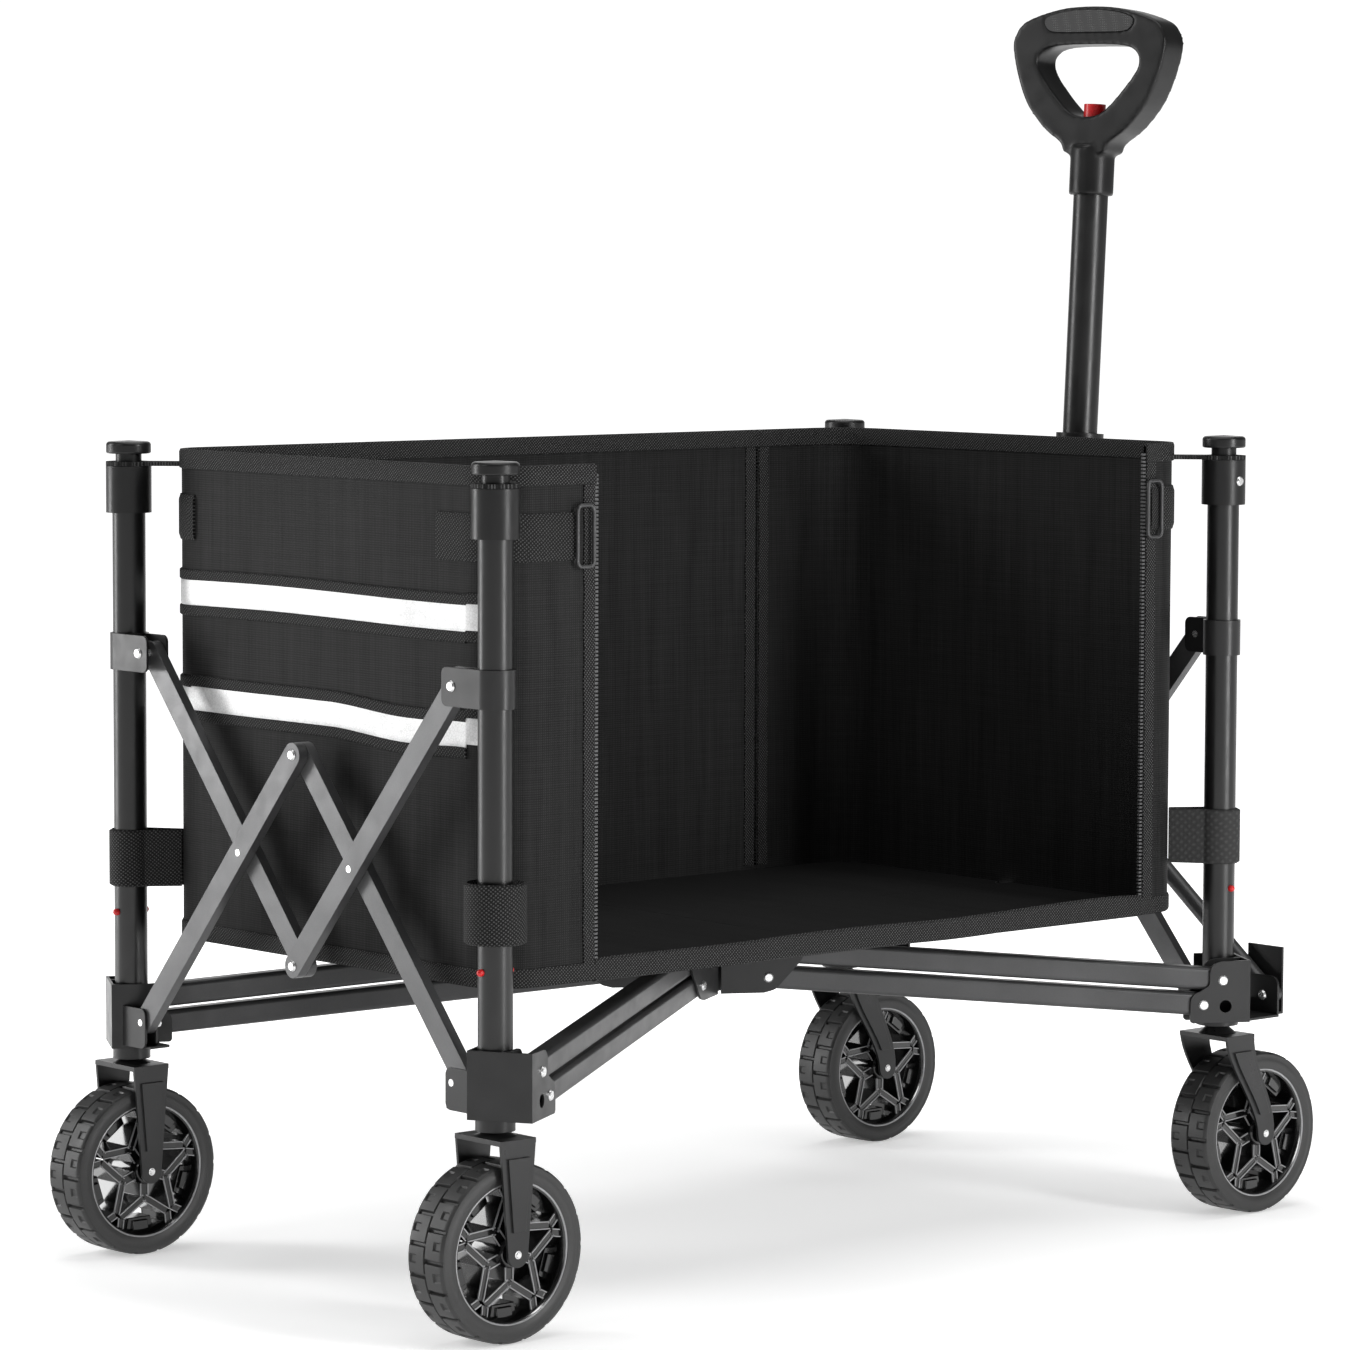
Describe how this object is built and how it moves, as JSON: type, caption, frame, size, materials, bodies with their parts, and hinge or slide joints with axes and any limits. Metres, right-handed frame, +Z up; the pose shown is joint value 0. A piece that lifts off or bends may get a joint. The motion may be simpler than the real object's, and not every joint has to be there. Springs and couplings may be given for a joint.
{
  "type": "folding utility wagon",
  "caption": "Folding utility wagon with a fabric tub on a black tube frame, scissor braces, swivelling front wheels and a telescoping pull handle with a D-shaped grip.",
  "frame": {"origin": "on the floor, at the centre of the bounding box seen from above", "axes": "+X towards the pull handle (forward), +Y to the wagon's left, +Z up"},
  "size_m": [1.0222, 0.5704, 1.0793],
  "materials": {
    "black_tube": "semi-gloss black",
    "grey_tube": "satin dark grey",
    "grey_bar": "satin mid-grey",
    "sheet": "satin dark grey",
    "black_plastic": "matte black",
    "rim_plastic": "glossy black rim in a dark grey tread",
    "red_button": "gloss red",
    "pad": "soft dotted dark grey",
    "cloth": "woven charcoal"
  },
  "bodies": {
    "corner_rear_right": {"post_rear_right": "black_tube", "cap_rear_right": "black_plastic", "bracket_rear_right": "sheet", "fork_rear_right": "grey_tube", "tub": "cloth", "side_panel": "cloth"},
    "corner_rear_left": {"post_rear_left": "black_tube", "cap_rear_left": "black_plastic", "bracket_rear_left": "sheet", "fork_rear_left": "grey_tube"},
    "corner_front_right": {"post_front_right": "black_tube", "cap_front_right": "black_plastic", "bracket_front_right": "sheet"},
    "corner_front_left": {"post_front_left": "black_tube", "cap_front_left": "black_plastic", "bracket_front_left": "sheet"},
    "hub": {"hub": "sheet"},
    "upper_arm_rear_right": {"upper_arm_rear_right": "grey_tube"},
    "lower_arm_rear_right": {"lower_arm_rear_right": "grey_tube"},
    "rising_brace_rear_right": {"rising_brace_rear_right": "grey_bar"},
    "falling_brace_rear_right": {"falling_brace_rear_right": "grey_bar"},
    "collar_rear_right": {"collar_rear_right": "sheet"},
    "outer_button_rear_right": {"outer_button_rear_right": "red_button"},
    "inner_button_rear_right": {"inner_button_rear_right": "red_button"},
    "wheel_rear_right": {"wheel_rear_right": "rim_plastic"},
    "upper_arm_rear_left": {"upper_arm_rear_left": "grey_tube"},
    "lower_arm_rear_left": {"lower_arm_rear_left": "grey_tube"},
    "rising_brace_rear_left": {"rising_brace_rear_left": "grey_bar"},
    "falling_brace_rear_left": {"falling_brace_rear_left": "grey_bar"},
    "collar_rear_left": {"collar_rear_left": "sheet"},
    "outer_button_rear_left": {"outer_button_rear_left": "red_button"},
    "inner_button_rear_left": {"inner_button_rear_left": "red_button"},
    "wheel_rear_left": {"wheel_rear_left": "rim_plastic"},
    "upper_arm_front_right": {"upper_arm_front_right": "grey_tube"},
    "lower_arm_front_right": {"lower_arm_front_right": "grey_tube"},
    "rising_brace_front_right": {"rising_brace_front_right": "grey_bar"},
    "falling_brace_front_right": {"falling_brace_front_right": "grey_bar"},
    "collar_front_right": {"collar_front_right": "sheet"},
    "outer_button_front_right": {"outer_button_front_right": "red_button"},
    "inner_button_front_right": {"inner_button_front_right": "red_button"},
    "caster_front_right": {"fork_front_right": "grey_tube"},
    "wheel_front_right": {"wheel_front_right": "rim_plastic"},
    "upper_arm_front_left": {"upper_arm_front_left": "grey_tube"},
    "lower_arm_front_left": {"lower_arm_front_left": "grey_tube"},
    "rising_brace_front_left": {"rising_brace_front_left": "grey_bar"},
    "falling_brace_front_left": {"falling_brace_front_left": "grey_bar"},
    "collar_front_left": {"collar_front_left": "sheet"},
    "outer_button_front_left": {"outer_button_front_left": "red_button"},
    "inner_button_front_left": {"inner_button_front_left": "red_button"},
    "caster_front_left": {"fork_front_left": "grey_tube"},
    "wheel_front_left": {"wheel_front_left": "rim_plastic"},
    "strut_right": {"handle_strut_right": "grey_tube"},
    "strut_left": {"handle_strut_left": "grey_tube"},
    "handle_base": {"handle_base": "sheet"},
    "handle_outer": {"handle_outer_tube": "black_tube", "handle_collar": "black_plastic"},
    "handle_inner": {"handle_inner_tube": "black_tube"},
    "grip": {"grip": "black_plastic", "grip_pad": "pad"},
    "grip_button": {"grip_button": "red_button"}
  },
  "joints": [
    {"name": "fold", "type": "hinge", "parent": "corner_rear_right", "child": "upper_arm_rear_right", "pos_m": [-0.41991, -0.26266, 0.2155], "axis": [0.5047, -0.8633, 0], "range_deg": [0, 75], "deforming": ["tub", "side_panel"]},
    {"name": "hub_level", "type": "hinge", "parent": "upper_arm_rear_right", "child": "hub", "pos_m": [-0.08106, -0.06457, 0.24984], "axis": [0.5047, -0.8633, 0], "range_deg": [-75.04, 0]},
    {"name": "fold_rear_left", "type": "hinge", "parent": "hub", "child": "upper_arm_rear_left", "pos_m": [-0.08106, 0.06457, 0.24984], "axis": [-0.5047, -0.8633, 0], "range_deg": [0, 75.04]},
    {"name": "level_rear_left", "type": "hinge", "parent": "upper_arm_rear_left", "child": "corner_rear_left", "pos_m": [-0.41991, 0.26266, 0.2155], "axis": [-0.5047, -0.8633, 0], "range_deg": [-75.04, 0]},
    {"name": "fold_front_right", "type": "hinge", "parent": "hub", "child": "upper_arm_front_right", "pos_m": [0.03678, -0.06457, 0.24984], "axis": [0.5047, 0.8633, 0], "range_deg": [0, 75.04]},
    {"name": "level_front_right", "type": "hinge", "parent": "upper_arm_front_right", "child": "corner_front_right", "pos_m": [0.37563, -0.26266, 0.2155], "axis": [0.5047, 0.8633, 0], "range_deg": [-75.04, 0]},
    {"name": "fold_front_left", "type": "hinge", "parent": "hub", "child": "upper_arm_front_left", "pos_m": [0.03678, 0.06457, 0.24984], "axis": [-0.5047, 0.8633, 0], "range_deg": [0, 75.04]},
    {"name": "level_front_left", "type": "hinge", "parent": "upper_arm_front_left", "child": "corner_front_left", "pos_m": [0.37563, 0.26266, 0.2155], "axis": [-0.5047, 0.8633, 0], "range_deg": [-75.04, 0]},
    {"name": "lower_arm_turn_rear_right", "type": "hinge", "parent": "corner_rear_right", "child": "lower_arm_rear_right", "pos_m": [-0.40471, -0.25378, 0.194], "axis": [0.5047, -0.8633, 0], "range_deg": [0, 75.04]},
    {"name": "rising_turn_rear_right", "type": "hinge", "parent": "corner_rear_right", "child": "rising_brace_rear_right", "pos_m": [-0.43864, -0.2085, 0.203], "axis": [1, 0, 0], "range_deg": [0, 32.5]},
    {"name": "crossing_rear_right", "type": "hinge", "parent": "rising_brace_rear_right", "child": "falling_brace_rear_right", "pos_m": [-0.43864, -0.07423, 0.36], "axis": [1, 0, 0], "range_deg": [-65, 0]},
    {"name": "collar_turn_rear_right", "type": "hinge", "parent": "falling_brace_rear_right", "child": "collar_rear_right", "pos_m": [-0.43864, -0.2085, 0.517], "axis": [1, 0, 0], "range_deg": [0, 32.5]},
    {"name": "lower_arm_turn_rear_left", "type": "hinge", "parent": "corner_rear_left", "child": "lower_arm_rear_left", "pos_m": [-0.40471, 0.25378, 0.194], "axis": [-0.5047, -0.8633, 0], "range_deg": [0, 75.04]},
    {"name": "rising_turn_rear_left", "type": "hinge", "parent": "corner_rear_left", "child": "rising_brace_rear_left", "pos_m": [-0.43864, 0.2085, 0.203], "axis": [-1, 0, 0], "range_deg": [0, 32.5]},
    {"name": "crossing_rear_left", "type": "hinge", "parent": "rising_brace_rear_left", "child": "falling_brace_rear_left", "pos_m": [-0.43864, 0.07423, 0.36], "axis": [-1, 0, 0], "range_deg": [-65, 0]},
    {"name": "collar_turn_rear_left", "type": "hinge", "parent": "falling_brace_rear_left", "child": "collar_rear_left", "pos_m": [-0.43864, 0.2085, 0.517], "axis": [-1, 0, 0], "range_deg": [0, 32.5]},
    {"name": "lower_arm_turn_front_right", "type": "hinge", "parent": "corner_front_right", "child": "lower_arm_front_right", "pos_m": [0.36043, -0.25378, 0.194], "axis": [0.5047, 0.8633, 0], "range_deg": [0, 75.04]},
    {"name": "rising_turn_front_right", "type": "hinge", "parent": "corner_front_right", "child": "rising_brace_front_right", "pos_m": [0.39436, -0.2085, 0.203], "axis": [1, 0, 0], "range_deg": [0, 32.5]},
    {"name": "crossing_front_right", "type": "hinge", "parent": "rising_brace_front_right", "child": "falling_brace_front_right", "pos_m": [0.39436, -0.07423, 0.36], "axis": [1, 0, 0], "range_deg": [-65, 0]},
    {"name": "collar_turn_front_right", "type": "hinge", "parent": "falling_brace_front_right", "child": "collar_front_right", "pos_m": [0.39436, -0.2085, 0.517], "axis": [1, 0, 0], "range_deg": [0, 32.5]},
    {"name": "lower_arm_turn_front_left", "type": "hinge", "parent": "corner_front_left", "child": "lower_arm_front_left", "pos_m": [0.36043, 0.25378, 0.194], "axis": [-0.5047, 0.8633, 0], "range_deg": [0, 75.04]},
    {"name": "rising_turn_front_left", "type": "hinge", "parent": "corner_front_left", "child": "rising_brace_front_left", "pos_m": [0.39436, 0.2085, 0.203], "axis": [-1, 0, 0], "range_deg": [0, 32.5]},
    {"name": "crossing_front_left", "type": "hinge", "parent": "rising_brace_front_left", "child": "falling_brace_front_left", "pos_m": [0.39436, 0.07423, 0.36], "axis": [-1, 0, 0], "range_deg": [-65, 0]},
    {"name": "collar_turn_front_left", "type": "hinge", "parent": "falling_brace_front_left", "child": "collar_front_left", "pos_m": [0.39436, 0.2085, 0.517], "axis": [-1, 0, 0], "range_deg": [0, 32.5]},
    {"name": "strut_right_turn", "type": "hinge", "parent": "corner_front_right", "child": "strut_right", "pos_m": [0.45236, -0.2535, 0.194], "axis": [1, 0, 0], "range_deg": [0, 40.44]},
    {"name": "strut_left_turn", "type": "hinge", "parent": "corner_front_left", "child": "strut_left", "pos_m": [0.45236, 0.2535, 0.194], "axis": [-1, 0, 0], "range_deg": [0, 40.44]},
    {"name": "base_level", "type": "hinge", "parent": "strut_right", "child": "handle_base", "pos_m": [0.45236, -0.034, 0.36549], "axis": [1, 0, 0], "range_deg": [-40.44, 0]},
    {"name": "handle_pitch", "type": "hinge", "parent": "handle_base", "child": "handle_outer", "pos_m": [0.44636, 0, 0.36549], "axis": [0, 1, 0], "range_deg": [-3, 95]},
    {"name": "handle_slide", "type": "slide", "parent": "handle_outer", "child": "handle_inner", "axis": [0.0523, 0, 0.9986], "range_m": [-0.218, 0]},
    {"name": "handle_turn", "type": "hinge", "parent": "handle_inner", "child": "grip", "pos_m": [0.47467, 0, 0.90575], "axis": [0.0523, 0, 0.9986], "range_deg": [-22, 22]},
    {"name": "grip_button_press", "type": "slide", "parent": "grip", "child": "grip_button", "axis": [0.0523, 0, 0.9986], "range_m": [-0.005, 0], "stiffness_N_per_m": 800, "springref_m": 0.002},
    {"name": "outer_button_press_rear_right", "type": "slide", "parent": "corner_rear_right", "child": "outer_button_rear_right", "axis": [-1, 0, 0], "range_m": [-0.0035, 0], "stiffness_N_per_m": 600, "springref_m": 0.001},
    {"name": "inner_button_press_rear_right", "type": "slide", "parent": "corner_rear_right", "child": "inner_button_rear_right", "axis": [1, 0, 0], "range_m": [-0.0035, 0], "stiffness_N_per_m": 600, "springref_m": 0.001},
    {"name": "roll_rear_right", "type": "hinge", "parent": "corner_rear_right", "child": "wheel_rear_right", "pos_m": [-0.43864, -0.2435, 0.0725], "axis": [0, 1, 0], "continuous": true},
    {"name": "outer_button_press_rear_left", "type": "slide", "parent": "corner_rear_left", "child": "outer_button_rear_left", "axis": [-1, 0, 0], "range_m": [-0.0035, 0], "stiffness_N_per_m": 600, "springref_m": 0.001},
    {"name": "inner_button_press_rear_left", "type": "slide", "parent": "corner_rear_left", "child": "inner_button_rear_left", "axis": [1, 0, 0], "range_m": [-0.0035, 0], "stiffness_N_per_m": 600, "springref_m": 0.001},
    {"name": "roll_rear_left", "type": "hinge", "parent": "corner_rear_left", "child": "wheel_rear_left", "pos_m": [-0.43864, 0.2435, 0.0725], "axis": [0, 1, 0], "continuous": true},
    {"name": "outer_button_press_front_right", "type": "slide", "parent": "corner_front_right", "child": "outer_button_front_right", "axis": [0, -1, 0], "range_m": [-0.0035, 0], "stiffness_N_per_m": 600, "springref_m": 0.001},
    {"name": "inner_button_press_front_right", "type": "slide", "parent": "corner_front_right", "child": "inner_button_front_right", "axis": [0, 1, 0], "range_m": [-0.0035, 0], "stiffness_N_per_m": 600, "springref_m": 0.001},
    {"name": "swivel_front_right", "type": "hinge", "parent": "corner_front_right", "child": "caster_front_right", "pos_m": [0.39436, -0.2435, 0.164], "axis": [0, 0, 1], "continuous": true},
    {"name": "roll_front_right", "type": "hinge", "parent": "caster_front_right", "child": "wheel_front_right", "pos_m": [0.42936, -0.2435, 0.0725], "axis": [0, 1, 0], "continuous": true},
    {"name": "outer_button_press_front_left", "type": "slide", "parent": "corner_front_left", "child": "outer_button_front_left", "axis": [0, 1, 0], "range_m": [-0.0035, 0], "stiffness_N_per_m": 600, "springref_m": 0.001},
    {"name": "inner_button_press_front_left", "type": "slide", "parent": "corner_front_left", "child": "inner_button_front_left", "axis": [0, -1, 0], "range_m": [-0.0035, 0], "stiffness_N_per_m": 600, "springref_m": 0.001},
    {"name": "swivel_front_left", "type": "hinge", "parent": "corner_front_left", "child": "caster_front_left", "pos_m": [0.39436, 0.2435, 0.164], "axis": [0, 0, 1], "continuous": true},
    {"name": "roll_front_left", "type": "hinge", "parent": "caster_front_left", "child": "wheel_front_left", "pos_m": [0.42936, 0.2435, 0.0725], "axis": [0, 1, 0], "continuous": true}
  ],
  "couplings": [
    {"joint": "hub_level", "follows": "fold", "ratio": -1},
    {"joint": "fold_rear_left", "follows": "fold", "ratio": 1},
    {"joint": "level_rear_left", "follows": "fold", "ratio": -1},
    {"joint": "fold_front_right", "follows": "fold", "ratio": 1},
    {"joint": "level_front_right", "follows": "fold", "ratio": -1},
    {"joint": "fold_front_left", "follows": "fold", "ratio": 1},
    {"joint": "level_front_left", "follows": "fold", "ratio": -1},
    {"joint": "lower_arm_turn_rear_right", "follows": "fold", "ratio": 1},
    {"joint": "rising_turn_rear_right", "follows": "fold", "ratio": 0.43314},
    {"joint": "crossing_rear_right", "follows": "fold", "ratio": -0.86628},
    {"joint": "collar_turn_rear_right", "follows": "fold", "ratio": 0.43314},
    {"joint": "lower_arm_turn_rear_left", "follows": "fold", "ratio": 1},
    {"joint": "rising_turn_rear_left", "follows": "fold", "ratio": 0.43314},
    {"joint": "crossing_rear_left", "follows": "fold", "ratio": -0.86628},
    {"joint": "collar_turn_rear_left", "follows": "fold", "ratio": 0.43314},
    {"joint": "lower_arm_turn_front_right", "follows": "fold", "ratio": 1},
    {"joint": "rising_turn_front_right", "follows": "fold", "ratio": 0.43314},
    {"joint": "crossing_front_right", "follows": "fold", "ratio": -0.86628},
    {"joint": "collar_turn_front_right", "follows": "fold", "ratio": 0.43314},
    {"joint": "lower_arm_turn_front_left", "follows": "fold", "ratio": 1},
    {"joint": "rising_turn_front_left", "follows": "fold", "ratio": 0.43314},
    {"joint": "crossing_front_left", "follows": "fold", "ratio": -0.86628},
    {"joint": "collar_turn_front_left", "follows": "fold", "ratio": 0.43314},
    {"joint": "strut_right_turn", "follows": "fold", "ratio": 0.53888},
    {"joint": "strut_left_turn", "follows": "fold", "ratio": 0.53888},
    {"joint": "base_level", "follows": "fold", "ratio": -0.53888}
  ]
}
